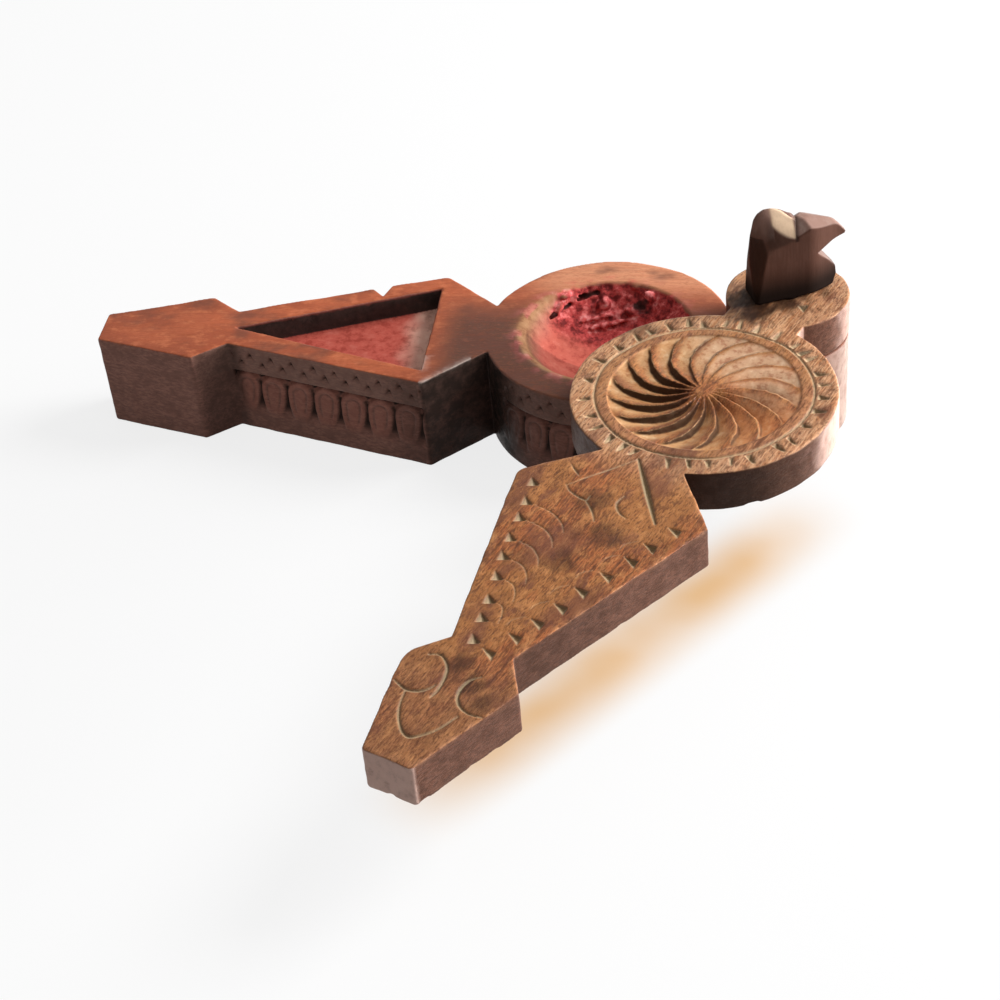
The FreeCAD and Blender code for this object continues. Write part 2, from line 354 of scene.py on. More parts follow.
def arm_nicks(x, y, rng):
    """Depth of the chips along the arm's two edges and of the arcs that run in from them."""
    cut = np.zeros(x.shape)
    for index in range(EDGE_NICKS):
        rear_x = REAR_NICK_START - index * EDGE_NICK_PITCH + rng.uniform(-0.4, 0.4)
        rear_y = arm_edge(rear_x) - EDGE_NICK_INSET + rng.uniform(-0.3, 0.3)
        rear = chip_at(x, y, (rear_x, rear_y), REAR_NICK, REAR_NICK_DEEPEST, rng.uniform(0.9, 1.25))
        front_x = FRONT_NICK_START - index * EDGE_NICK_PITCH + rng.uniform(-0.4, 0.4)
        front_y = -arm_edge(front_x) + EDGE_NICK_INSET + rng.uniform(-0.3, 0.3)
        front = chip_at(x, y, (front_x, front_y), FRONT_NICK, FRONT_NICK_DEEPEST, rng.uniform(0.9, 1.25))
        cut = np.maximum(cut, np.maximum(rear, front))
        if 0 < index < EDGE_NICKS - 2:
            start_y = rear_y - 1.8
            reach = 0.74 * (rear_y - 1.5)
            arc = [(rear_x, start_y), (rear_x - 0.6, start_y - 0.45 * reach),
                   (rear_x - 2.4, start_y - 0.8 * reach), (rear_x - 4.6, start_y - reach)]
            cut = np.maximum(cut, stroke(x, y, curve_through(arc), 0.42, 0.26))
            low = [(front_x + 1.0, front_y + 2.6), (front_x - 0.6, front_y + 4.2),
                   (front_x - 2.6, front_y + 4.6)]
            cut = np.maximum(cut, stroke(x, y, curve_through(low), 0.4, 0.18))
    return cut


def lid_carving(x, y):
    """Depth of all cuts in the lid's top, how pale they are, the shade painted dark in the flutes and the
    deepest cuts, and the rosette's slopes.
    """
    flutes, dark, petal, blush, ember = rosette(x, y)
    ring_radius = RING_RADIUS + 0.25 * noise(x / 7, y / 7, 21.0)
    cut = 0.42 * np.clip(1 - np.abs(np.hypot(x, y) - ring_radius) / 0.4, 0, None)
    rng = np.random.default_rng(5)
    cut = np.maximum(cut, border_nicks(x, y, rng))
    cut = np.maximum(cut, arm_nicks(x, y, rng))
    cut = np.maximum(cut, chip_at(x, y, LOBE_NICK_PLACE, LOBE_NICK, LOBE_NICK_DEEPEST, 1.2))
    cut = np.maximum(cut, stroke(x, y, DEEP_GROOVE, 1.3, 1.0))
    cut = np.maximum(cut, stroke(x, y, FINE_LINE, 0.6, 0.36))
    for points in (HOOK, HOOK_TAIL, TICK, SMALL_CURL):
        cut = np.maximum(cut, stroke(x, y, curve_through(points), 0.65, 0.42))
    for points in (FINIAL_EYE, FINIAL_EYE_BACK, FINIAL_SWEEP, FINIAL_CURL):
        cut = np.maximum(cut, stroke(x, y, curve_through(points), 0.85, 0.55))
    # Painted shade in the deepest cuts
    dark = np.maximum(dark, ramp(*DARK_DEPTHS, cut))
    return np.maximum(cut, flutes), np.clip(cut / PALE_DEPTH, 0, 1), dark, petal, blush, ember


# Frieze on the tray's sides, along the side and up from its foot
FRIEZE_PITCH = 6.45
FRIEZE_LINE = 14.8
FRIEZE_LEAN = 0.1
TONGUE_TOP = 11.6
TONGUE_HALF_WIDTH = 2.75
TONGUE_FOOT = 3.8
BAND_NICK_PITCH = 5.1
BAND_NICK_RISES = (17.4, 19.2)


def frieze(along, rise):
    """Hanging tongues under a grooved line, with two rows of nicks in the band above it."""
    cut = 0.4 * np.clip(1 - np.abs(rise - FRIEZE_LINE) / 0.35, 0, None)
    number = np.floor(along / FRIEZE_PITCH)
    across = along - (number + 0.5) * FRIEZE_PITCH + FRIEZE_LEAN * (TONGUE_TOP - rise)
    hang = (TONGUE_TOP - rise) / (TONGUE_TOP - TONGUE_FOOT)
    taper = TONGUE_HALF_WIDTH * np.clip(1 - hang**2, 0, 1) ** 0.5
    below = np.abs(across) - taper
    above = np.hypot(across, rise - TONGUE_TOP) - TONGUE_HALF_WIDTH
    tongue = np.where(rise > TONGUE_TOP, above, below)
    under_line = ramp(0, 0.15, FRIEZE_LINE - rise)
    fade = ramp(TONGUE_FOOT, TONGUE_FOOT + 4.0, rise)
    ground = 0.75 * ramp(-0.1, 0.5, tongue) * fade
    corner = 0.7 * ramp(12.3, 14.2, rise) * ramp(0.1, 0.9, tongue)
    rib = 0.3 * np.clip(1 - np.abs(tongue + 1.15) / 0.4, 0, None) * ramp(6.0, 8.0, rise)
    cut = np.maximum(cut, under_line * np.maximum(ground + corner, rib))
    for row, row_rise in enumerate(BAND_NICK_RISES):
        offset = along + row * BAND_NICK_PITCH / 2
        step = np.floor(offset / BAND_NICK_PITCH)
        place = offset - (step + 0.5) * BAND_NICK_PITCH + 0.3 * noise(step * 2.3, row * 5.1, 0.4)
        size = 1.0 + 0.3 * noise(step * 1.9, row * 7.3, 4.4)
        nick = 1 - np.maximum(np.abs(place) * 1.3 + (rise - row_rise) * 0.6, -(rise - row_rise)) / size
        cut = np.maximum(cut, 0.9 * np.clip(nick, 0, 1))
    return cut


def tray_frieze(x, y, rise):
    """The frieze where the tray has it: both sides of the arm and of the disc."""
    side_y = np.abs(y)
    run = np.array([SHOULDER[0] - NECK[0], SHOULDER[1] - NECK[1]])
    length = np.linalg.norm(run)
    run = run / length
    along = (x - NECK[0]) * run[0] + (side_y - NECK[1]) * run[1]
    off = -(x - NECK[0]) * run[1] + (side_y - NECK[1]) * run[0]
    on_side = ramp(2.0, 2.6, rise) * ramp(TRAY_TOP - 0.8, TRAY_TOP - 1.2, rise)
    on_arm = on_side * ramp(0.1, 0.7, along) * ramp(0.1, 0.7, length - along) * (np.abs(off) < 2.5)
    angle = np.arctan2(side_y, x)
    on_disc = on_side * ramp(0.42, 0.5, angle) * ramp(2.52, 2.44, angle)
    on_disc = on_disc * (np.abs(np.hypot(x, y) - DISC_RADIUS) < 2.5)
    return on_arm * frieze(along, rise) + on_disc * (1 - on_arm) * frieze(DISC_RADIUS * (2.75 - angle), rise)


# Meshes from grids of distances, and the layers that every wood's material reads
WOOD_LAYERS = ("cut", "deep_and_painted_shade", "wear", "dirt_and_painted_shade", "flat", "under", "pale", "dull")


class Grid:
    """A box of evenly spaced points, in millimetres."""

    def __init__(self, low, high, voxel):
        self.low = np.array(low, float)
        self.voxel = voxel
        counts = np.ceil((np.array(high) - self.low) / voxel).astype(int)
        axes = [start + voxel * np.arange(count) for start, count in zip(low, counts)]
        self.x = axes[0][:, None, None].astype(np.float32)
        self.y = axes[1][None, :, None].astype(np.float32)
        self.z = axes[2][None, None, :].astype(np.float32)
        self.plan_x, self.plan_y = np.meshgrid(axes[0], axes[1], indexing="ij")

    def points_where(self, chosen):
        """The places of the chosen points."""
        index = np.nonzero(chosen)
        return [(self.low[axis] + self.voxel * index[axis]).astype(np.float32) for axis in range(3)]

    def plan_at(self, points, values):
        """The plan's values at the grid places nearest to the points."""
        steps = [np.round((points[:, axis] - self.low[axis]) / self.voxel).astype(int) for axis in range(2)]
        return values[tuple(np.clip(step, 0, count - 1) for step, count in zip(steps, values.shape))]


def slope_scale(height, voxel):
    """What turns a height above a carved face into about a distance from it."""
    along, across = np.gradient(height, voxel)
    return 1 / np.sqrt(1 + along**2 + across**2)


def mesh_from(distance, grid, name):
    """A new object with the surface where the distance is nought, thinned to the most triangles."""
    limit = 3 * grid.voxel
    volume = openvdb.FloatGrid(limit)
    volume.copyFromArray(np.ascontiguousarray(np.clip(distance, -limit, limit), dtype=np.float32))
    points, quads = volume.convertToQuads(0.0)
    points = points * grid.voxel + grid.low
    mesh = bpy.data.meshes.new(name)
    mesh.vertices.add(len(points))
    mesh.vertices.foreach_set("co", points.astype(np.float32).ravel())
    mesh.loops.add(quads.size)
    mesh.loops.foreach_set("vertex_index", quads.astype(np.int32).ravel())
    mesh.polygons.add(len(quads))
    mesh.polygons.foreach_set("loop_start", np.arange(0, quads.size, 4, dtype=np.int32))
    mesh.update(calc_edges=True)
    mesh.validate()
    piece = bpy.data.objects.new(name, mesh)
    bpy.context.collection.objects.link(piece)
    if 2 * len(quads) > MOST_TRIANGLES:
        thin = piece.modifiers.new("thin", "DECIMATE")
        thin.ratio = MOST_TRIANGLES / (2 * len(quads))
        thin.use_collapse_triangulate = True
        with bpy.context.temp_override(object=piece, active_object=piece, selected_objects=[piece]):
            bpy.ops.object.modifier_apply(modifier=thin.name)
    return piece


def vertices_of(piece):
    """The piece's points and their outward directions."""
    mesh = piece.data
    points = np.empty(3 * len(mesh.vertices), np.float32)
    mesh.vertices.foreach_get("co", points)
    normals = np.empty(3 * len(mesh.vertices), np.float32)
    mesh.vertex_normals.foreach_get("vector", normals)
    return points.reshape(-1, 3), normals.reshape(-1, 3)


def paint(piece, grain, **layers):
    """The grain's place and other named numbers on the piece's points, for its material."""
    for name, values in {"grain": grain, **layers}.items():
        values = np.asarray(values, np.float32)
        kind, field = ("FLOAT_VECTOR", "vector") if values.ndim == 2 else ("FLOAT", "value")
        layer = piece.data.attributes.new(name, kind, "POINT")
        layer.data.foreach_set(field, values.ravel())


def blank_layers(points):
    """The layers that every wood has, all of them nought."""
    return {name: np.zeros(len(points)) for name in WOOD_LAYERS}


def settle(piece, body, node, turn=0.0):
    """Turns the piece about the pivot, brings it to metres, and lets it stand for its node."""
    about = Matrix.Translation((PIVOT_X * MM, 0, 0)) @ Matrix.Rotation(turn, 4, "Z")
    about = about @ Matrix.Translation((-PIVOT_X * MM, 0, 0)) @ Matrix.Scale(MM, 4)
    piece.data.transform(about)
    piece.data.polygons.foreach_set("use_smooth", np.ones(len(piece.data.polygons), bool))
    piece.data.update()
    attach(piece, body)
    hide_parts(node)


def blurred(values, reach):
    """The plan's values, each averaged over a square of so many steps on each side."""
    count = 2 * reach + 1
    for _ in range(2):
        padded = np.pad(values, ((reach + 1, reach), (0, 0)), mode="edge")
        sums = np.cumsum(padded, axis=0)
        values = ((sums[count:] - sums[:-count]) / count).T
    return values


def knife_marks(x, y, z):
    """Small unevenness of a side that was cut by hand."""
    return 0.06 * noise(x / 2.6, y / 2.6, z / 1.7) + 0.03 * noise(x / 1.1, y / 1.1, z / 0.9)


# Lid
EDGE_WEAR_REACH = 0.4


def edge_wear(edge_distance, below_top):
    """How worn a place is that lies near both the outline and the top."""
    return np.exp(-np.abs(edge_distance) / EDGE_WEAR_REACH) * np.exp(-np.abs(below_top) / EDGE_WEAR_REACH)


def lid_body(grid, cut):
    """The lid's distances: a hand-worn board with its cuts, its ragged underside and the peg's hole."""
    x, y = grid.plan_x, grid.plan_y
    sway = 0.10 * (1 + noise(x / 9, y / 5, 2.0)) + 0.04 * (1 + noise(x / 2.5, y / 1.1, 6.0))
    height = LID_TOP - cut - sway
    edge = outline(x, y, LID_REAR_ROUNDS)
    edge = edge + 0.07 * (1 + noise(x / 3, y / 3, 9.0))
    side = edge[:, :, None] + np.zeros_like(grid.z)
    near_side = np.abs(side) < 1.5
    side[near_side] += knife_marks(*grid.points_where(near_side))
    wear = 0.38 + 0.28 * noise(x / 8, y / 8, 14.0)
    top = (grid.z - height[:, :, None]) * slope_scale(height, LID_VOXEL)[:, :, None]
    body = smooth_max(top, side, wear[:, :, None])
    chips = ramp(0.35, 0.8, noise(x / 2.4, y / 2.4, 23.0)) * ramp(-1.4, -0.2, edge)
    ragged = LID_BOTTOM + 0.05 * (1 + noise(x / 2.2, y / 2.2, 19.0)) + 0.3 * chips
    body = smooth_max(body, ragged[:, :, None] - grid.z, 0.45)
    hole = PEG_HOLE_RADIUS - np.hypot(x - PIVOT_X, y)
    return np.maximum(body, hole[:, :, None])


def lid_layers(points, normals, grime):
    """How far each colour of the lid's wood shows at its points."""
    px, py, pz = points.T
    radius = np.hypot(px, py)
    on_top = ramp(LID_TOP - 2.6, LID_TOP - 2.2, pz) * ramp(-0.3, 0.0, normals[:, 2])
    cut, pale, dark, petal, blush, ember = lid_carving(px, py)
    flat = np.maximum(ramp(0.35, 0.75, normals[:, 2]), on_top * (cut > 0.15))
    in_rosette = ramp(ROSETTE_RADIUS + 0.3, ROSETTE_RADIUS - 0.3, radius)
    # Painted shade on the cuts' facets that are turned from the main light
    painted_shade_away = ramp(0.5, 0.2, normals @ KEY_SEEN_BY_LID) * ramp(0.1, 0.3, cut) * (1 - in_rosette)
    dark = np.maximum(dark, 0.8 * painted_shade_away) * (0.82 + 0.18 * in_rosette)
    dirt_and_painted_shade = np.clip(1.7 * grime - 0.4 * cut, 0, 1) * (radius > ROSETTE_RADIUS)
    uneven = 0.3 * noise(px / 2.0, py / 1.2, 25.0)
    # Stains darken the top, and on the lobe they are the bird's painted shadow
    for spot_x, spot_y, reach, strength in LID_STAINS_AND_BIRD_SHADOW:
        spot = np.exp(-((px - spot_x) ** 2 + (py - spot_y) ** 2) / reach**2)
        dirt_and_painted_shade = np.maximum(dirt_and_painted_shade, strength * ramp(0.12, 0.8, spot + uneven))
    bearing = np.degrees(np.arctan2(py, px))
    # Painted shade on the disc's front side towards the waist's corner; the arm's sides are darker towards
    # the finial
    waist_painted_shade = ramp(-75, -140, bearing) * (py < 0) * (radius < DISC_RADIUS + 0.5)
    arm_side_darkening = 0.4 * ramp(-52, -74, px) * (px > FINIAL[0] + 5)
    side_darkening = np.maximum(0.9 * waist_painted_shade, arm_side_darkening) * (1 - flat)
    # Painted sheen: the disc's and lobe's sides that face the right take the pale end coat, as does the tip's
    # end grain
    painted_sheen_right = ramp(0.66, 0.93, normals @ RIGHT_SEEN_BY_LID) * (px > WAIST[0])
    painted_sheen_right = painted_sheen_right * np.where(px > DISC_RADIUS, 0.55, 0.9)
    end = np.maximum(ramp(TIP[0] + 0.9, TIP[0] + 0.3, px), painted_sheen_right)
    border = ramp(-32, -20, px) * (1 - 0.6 * ramp(RING_RADIUS + 0.2, RING_RADIUS - 0.4, radius))
    return {
        "cut": pale * on_top, "deep_and_painted_shade": dark * on_top, "dirt_and_painted_shade": np.maximum(dirt_and_painted_shade * on_top * flat, side_darkening),
        "wear": 0.6 * edge_wear(outline(px, py, LID_REAR_ROUNDS), LID_TOP - pz), "flat": flat,
        "under": ramp(0.5, 0.8, -normals[:, 2]), "pale": 0.7 * border * (1 - in_rosette),
        "dull": np.maximum(0.5 * ramp(-78, -92, px), 0.2 * ramp(24, 32, px)),
        "petal": petal * on_top, "blush": blush * on_top, "ember": 0.9 * ember * on_top,
        "end": end * (1 - flat),
    }


def build_lid():
    grid = Grid((-112.5, -28.0, LID_BOTTOM - 1), (51.5, 28.0, LID_TOP + 1), LID_VOXEL)
    cut = lid_carving(grid.plan_x, grid.plan_y)[0]
    lid = mesh_from(lid_body(grid, cut), grid, "swivel_lid_carved")
    points, normals = vertices_of(lid)
    grime = blurred(np.clip(cut, 0, 0.8), round(GRIME_REACH / LID_VOXEL))
    paint(lid, grain=points, **lid_layers(points, normals, grid.plan_at(points, grime)))
    settle(lid, "lid", "swivel_lid", LID_OPEN)
    return lid


# Tray
CHIP_OFF = [(-53.6, 16.2), (-50.1, 12.4), (-48.4, 17.5)]
CHIP_OFF_DEPTH = 3.2
RAGGED_REAR = 0.7
# Slots gouged in the bowl's wall, ledges and clumps of powder left on it, each with its radius
BOWL_SLOTS = [((-13.4, 9.0, 18.1), (-9.4, 13.5, 18.7), 0.5),
              ((-7.8, 15.0, 19.2), (-3.8, 16.6, 19.7), 0.65)]
# A shadow painted dark on the bowl's rear wall: its middle, and its reach
BOWL_PAINTED_SHADOW = (6.2, 14.5, 17.8)
BOWL_PAINTED_SHADOW_REACH = 2.4
BOWL_LUMPS = [((-6.8, 11.4, 15.6), (-0.4, 13.6, 16.0), 0.55), ((-4.9, 10.6, 14.4), (4.2, 12.6, 15.6), 0.6),
              ((3.2, 13.6, 16.8), (5.0, 13.4, 16.8), 1.1), ((-10.8, 13.4, 20.6), (-9.8, 14.0, 20.8), 0.9),
              ((-3.2, 14.8, 17.4), (-1.8, 14.8, 17.9), 1.2), ((7.6, 14.8, 20.0), (8.6, 14.4, 19.4), 1.1),
              ((-12.0, 10.6, 18.6), (-11.2, 11.8, 19.4), 0.8)]


def bowl_distance(x, y, z):
    """The signed distance to the bowl's ball, negative inside it."""
    ball = (BOWL_RADIUS**2 + BOWL_DEPTH**2) / (2 * BOWL_DEPTH)
    return np.sqrt(x**2 + y**2 + (z - TRAY_TOP + BOWL_DEPTH - ball) ** 2) - ball


def to_rod(x, y, z, start, end):
    """The distance from each point to a straight rod's middle line."""
    run = np.array(end) - np.array(start)
    along = (x - start[0]) * run[0] + (y - start[1]) * run[1] + (z - start[2]) * run[2]
    along = np.clip(along / (run @ run), 0, 1)
    return np.sqrt(sum((axis - s - along * r) ** 2 for axis, s, r in zip((x, y, z), start, run)))


def hollowed_bowl(x, y, z):
    """The bowl with its flaked wall, slots and lumps, negative inside it."""
    rear = ramp(2.0, 9.0, y + 0.15 * x) * ramp(TRAY_TOP, TRAY_TOP - 1.5, z)
    flakes = 0.5 * noise(x / 2.4, y / 2.4, z / 1.5) + 0.35 * noise(x / 1.1, y / 1.1, z / 0.8)
    bowl = bowl_distance(x, y, z) + (0.08 + RAGGED_REAR * rear) * flakes
    for start, end, radius in BOWL_LUMPS:
        bowl = np.maximum(bowl, radius + 0.5 * flakes - to_rod(x, y, z, start, end))
    for start, end, radius in BOWL_SLOTS:
        bowl = np.minimum(bowl, to_rod(x, y, z, start, end) - radius - 0.5 * flakes)
    return bowl


def tray_body(grid):
    """The tray's distances: the block with its frieze, less the well, bowl, chip, peg hole and recess."""
    x, y = grid.plan_x, grid.plan_y
    sway = 0.06 * (1 + noise(x / 10, y / 6, 31.0)) + 0.02 * (1 + noise(x / 2.5, y / 1.2, 35.0))
    height = TRAY_TOP - sway
    edge = outline(x, y, TRAY_REAR_ROUNDS) + 0.06 * (1 + noise(x / 4, y / 4, 40.0))
    side = np.broadcast_to(edge[:, :, None], (x.shape[0], x.shape[1], grid.z.size)).copy()
    near_side = np.abs(side) < 2.6
    places = grid.points_where(near_side)
    side[near_side] += tray_frieze(*places) + knife_marks(*places)
    wear = 0.34 + 0.24 * noise(x / 8, y / 8, 44.0)
    body = smooth_max(side, grid.z - height[:, :, None], wear[:, :, None])
    body = smooth_max(body, -grid.z, 0.4)
    well_floor = TRAY_TOP - WELL_DEPTH + 0.08 * noise(x / 3, y / 3, 80.0)
    well_floor = well_floor + 0.04 * noise(x / 1.1, y / 1.1, 83.0)
    well_side = in_polygon(x, y, WELL)[:, :, None] + np.zeros_like(grid.z)
    near_well = (np.abs(well_side) < 1.2) & (grid.z > TRAY_TOP - WELL_DEPTH - 1)
    well_side[near_well] += knife_marks(*grid.points_where(near_well))
    well = np.maximum(well_side, well_floor[:, :, None] - grid.z)
    body = smooth_max(body, -well, 0.4)
    bowl = bowl_distance(grid.x, grid.y, grid.z)
    near_bowl = np.abs(bowl) < 4.0
    bowl[near_bowl] = hollowed_bowl(*grid.points_where(near_bowl))
    rim = 0.5 + 1.5 * ramp(2, -13, x + 0.45 * y)
    body = smooth_max(body, -bowl, rim[:, :, None])
    chip_off = np.maximum(in_polygon(x, y, CHIP_OFF)[:, :, None], TRAY_TOP - CHIP_OFF_DEPTH - grid.z)
    body = smooth_max(body, -chip_off, 0.5)
    spot = np.hypot(x - PIVOT_X, y)[:, :, None]
    body = np.maximum(body, PEG_HOLE_RADIUS - spot)
    return np.maximum(body, np.minimum(RECESS_RADIUS - spot, RECESS_DEPTH - grid.z))


def bowl_layers(points, near):
    """How far each colour of the powder shows in the bowl, and on the rim, where it is tan on the left."""
    px, py, pz = points.T
    radius = np.hypot(px, py)
    below = TRAY_TOP - pz
    left = ramp(-2, -12, px + 0.45 * py)
    rear = ramp(3.0, 8.0, py + 0.15 * px)
    ragged = below + 0.5 * noise(px / 1.8, py / 1.8, pz / 1.8)
    bowl = near * ramp(0.3 + 0.3 * left, 0.9 + 5.5 * left, ragged)
    lumps = [ramp(size + 1.0, size, to_rod(px, py, pz, start, end)) for start, end, size in BOWL_LUMPS]
    clump = np.max(lumps, axis=0) * near * ramp(-0.25, 0.2, noise(px / 0.9, py / 0.9, pz / 0.9))
    rim = near * ramp(0.03, 0.3, below) * (1 - bowl) * (0.35 + 0.65 * left)
    smear = ramp(BOWL_RADIUS + 4.2, BOWL_RADIUS + 0.4, radius)
    smear = smear * ramp(-0.05, 0.3, noise(px / 1.7, py / 1.7, 70.0))
    smear = 0.55 * smear * (0.35 + 0.65 * left) * (below < 0.6) * (radius > BOWL_RADIUS - 1)
    return {"bowl": bowl, "flaky": bowl * rear, "clump": 0.85 * clump, "rim": rim, "smear": smear}


def bowl_darks(points):
    """How dark the slots in the bowl's wall are painted with shade, and the shadow painted on its rear wall.
    """
    px, py, pz = points.T
    slots = sum(ramp(size + 0.6, size - 0.1, to_rod(px, py, pz, start, end))
                for start, end, size in BOWL_SLOTS)
    slots = np.clip(slots, 0, 1) * ramp(0.2, 0.6, bowl_distance(px, py, pz))
    stain = np.exp(-np.sum((points - BOWL_PAINTED_SHADOW) ** 2, axis=1) / BOWL_PAINTED_SHADOW_REACH**2)
    return np.maximum(slots, ramp(0.3, 0.8, stain + 0.4 * noise(px / 0.9, py / 0.9, pz / 0.9)))


def well_layers(points, normals):
    """How far each colour of the well shows: red powder, its tan end, painted bright as lit though the end
    wall shades it, and its dark walls, stain together with painted shade.
    """
    px, py, pz = points.T
    below = TRAY_TOP - pz
    in_well = ramp(0.9, 0.4, in_polygon(px, py, WELL)) * ramp(0.2, 0.8, below)
    tan = in_well * ramp(-46, -39, px + 1.2 * noise(px / 3, py / 3, 77.0))
    tan = tan * ramp(WELL_DEPTH - 1.2, WELL_DEPTH - 0.5, below)
    return {"well": in_well, "tan": tan, "wall": in_well * ramp(0.7, 0.4, normals[:, 2])}


def side_shade(px, py, facing):
    """How much painted shade darkens the tray's sides: most on the flank between shoulder and disc, which the
    disc and lid shade, then near the shoulder, along the disc's front and at the neck; the sides that face
    the rear are painted darker to offset the main lamp.
    """
    shade = 0.92 * ramp(-38.2, -36.4, px) * ramp(-14, -24, px)
    shade = shade + 0.45 * ramp(-48, -39, px) * (px < SHOULDER[0] - 1) * (py < 0)
    shade = shade + 0.35 * ramp(WAIST[0] - 2, WAIST[0] + 6, px) * ramp(8, 0, px) * (py < 0)
    shade = np.maximum(shade, 0.5 * ramp(-0.1, 0.5, facing[:, 1]))
    shade = shade + 0.62 * ramp(-77, -80, px) * ramp(-89, -86, px)
    return np.clip(shade, 0, 1)


def tray_layers(points, normals):
    """How far each colour of the tray's wood and powder shows at its points."""
    px, py, pz = points.T
    below = TRAY_TOP - pz
    edge = outline(px, py, TRAY_REAR_ROUNDS)
    on_edge = np.abs(edge) < 2.4
    near_bowl = ramp(3.0, 1.6, np.abs(bowl_distance(px, py, pz))) * (np.hypot(px, py) < BOWL_RADIUS + 3)
    flat = ramp(0.35, 0.75, normals[:, 2]) * ramp(1.6, 1.0, below)
    # Painted shade on the tray's sides
    shade = side_shade(px, py, normals)
    relief = np.where(on_edge, tray_frieze(px, py, pz), 0) * ramp(0.6, 0.3, np.abs(normals[:, 2]))
    worn = edge_wear(edge, below)
    worn = np.maximum(worn, 0.8 * edge_wear(np.minimum(in_polygon(px, py, WELL), 9), below))
    # Painted highlight along the flank's top edge from shoulder to waist, and a painted sheen on the lobe's
    # side that faces the right
    glint = worn * (px > SHOULDER[0] - 0.6) * (px < WAIST[0] - 3) * (py < WAIST[1] - DISC_RADIUS / 1.4)
    glint = np.maximum(glint, 0.18 * ramp(0.72, 0.98, normals[:, 0]) * (px > PIVOT_X + 4))
    on_band = on_edge * ramp(FRIEZE_LINE, FRIEZE_LINE + 0.4, pz) * ramp(-88, -80, px)
    ashen = np.maximum(0.85 * ramp(15, 26, px), 0.3 * on_band) * (1 - flat) * (1 - near_bowl)
    carved = tray_frieze(px, py, np.full_like(pz, TONGUE_TOP)) >= 0
    tongue = 0.45 * on_edge * ramp(0.2, 0.05, relief) * carved
    tongue = tongue * ramp(TONGUE_FOOT, TONGUE_FOOT + 3, pz) * ramp(FRIEZE_LINE, FRIEZE_LINE - 0.4, pz)
    tongue = tongue * ramp(NECK[0], NECK[0] + 2, px) * (1 - shade) * ramp(6, -2, px) * (1 - flat)
    well = well_layers(points, normals)
    finial_dull = 0.12 * ramp(-84, -90, px)
    return {
        "cut": 0.8 * np.clip(relief / 0.5, 0, 1), "wear": 0.5 * worn, "flat": flat, "ashen": ashen,
        "deep_and_painted_shade": np.maximum(ramp(0.35, 0.8, relief), bowl_darks(points)),
        "tongue": tongue, "glint": glint,
        "under": ramp(0.5, 0.8, -normals[:, 2]), "dirt_and_painted_shade": shade * (1 - flat) * (1 - well["well"]),
        # The rear of the disc's top is painted pale as a sheen; the top's front, from the shoulder
        # rightwards, is painted dull, partly as the lid's shadow
        "pale": ramp(8, 19, py) * ramp(-24, -10, px),
        "dull": np.maximum(ramp(-40, -30, px) * ramp(17, 1, py), finial_dull),
    } | bowl_layers(points, near_bowl) | well


def build_tray():
    grid = Grid((-112.5, -28.0, -1.2), (51.5, 28.0, TRAY_TOP + 1.2), TRAY_VOXEL)
    tray = mesh_from(tray_body(grid), grid, "base_tray_carved")
    points, normals = vertices_of(tray)
    paint(tray, grain=points, **tray_layers(points, normals))
    settle(tray, "tray", "base_tray")
    return tray


# Caked powder in the bottom of the bowl

def build_crust():
    floor = TRAY_TOP - BOWL_DEPTH
    grid = Grid((-8.2, -8.2, floor - 0.6), (8.2, 8.2, floor + 2.2), CRUST_VOXEL)
    top = floor + 0.75 * CRUST_DEPTH + 0.30 * noise(grid.plan_x / 2.4, grid.plan_y / 2.4, 50.0)
    top = top + 0.12 * noise(grid.plan_x / 0.8, grid.plan_y / 0.8, 53.0)
    body = smooth_max(grid.z - top[:, :, None], bowl_distance(grid.x, grid.y, grid.z) - 0.15, 0.1)
    crust = mesh_from(body, grid, "pigment_crust_caked")
    points, _ = vertices_of(crust)
    paint(crust, grain=points)
    settle(crust, "tray", "pigment_crust")
    return crust


# Bird on its peg: along the bird, across it towards the front, and up from its foot
BIRD_TURN = math.radians(21.3)
BIRD_SET_BACK = 1.1
BIRD_HALF = 3.5
BIRD_SIDE_VIEW = [(-7.6, 0.0), (-7.9, 4.0), (-8.0, 9.6), (-7.7, 14.5), (-7.0, 17.8), (-6.2, 19.3),
                  (-4.9, 20.2), (-3.2, 20.2), (-1.4, 19.3), (0.8, 17.5), (1.8, 17.0), (4.8, 16.6),
                  (7.4, 15.9), (9.4, 14.8), (11.3, 13.1), (12.5, 11.6), (12.2, 11.0), (9.4, 10.5),
                  (7.2, 9.7), (5.8, 9.1), (6.5, 8.3), (8.6, 6.1), (10.2, 4.2), (10.5, 2.2), (9.6, 0.0)]
PEG_RADIUS = 2.3
PEG_BOTTOM = 1.25
PIN_HEIGHT = 3.45
PIN_RADIUS = 1.0
PIN_LENGTH = 10.0
# Knife facets on each side of the bird, each through three of its points
NOTCH = (0.9, 3.5, 13.9)
SADDLE = (1.8, 0.0, 17.0)
BROW = (-4.0, 1.6, 17.5)
CROWN = (-1.6, 0.2, 19.5)
CROWN_LEFT = (-7.0, 0.3, 18.4)
CHEEK = (-4.4, 3.5, 12.5)
CHEST_TOP = (-5.4, 3.5, 12.0)
CHEST_LOW = (-7.5, 3.5, 0.5)
CHEST = (-8.0, 1.3, 8.0)
TAIL_EDGE = (4.1, 3.5, 15.5)
TAIL_RIDGE = (4.8, 0.0, 16.7)
TAIL_END = (9.3, 0.0, 15.0)
HEAD_FACETS = [(NOTCH, BROW, CROWN), (NOTCH, BROW, CHEEK), (BROW, CHEEK, CROWN_LEFT),
               (CHEST_TOP, CHEST_LOW, CHEST)]
TAIL_FACETS = [(NOTCH, TAIL_EDGE, SADDLE), (TAIL_EDGE, TAIL_RIDGE, TAIL_END)]


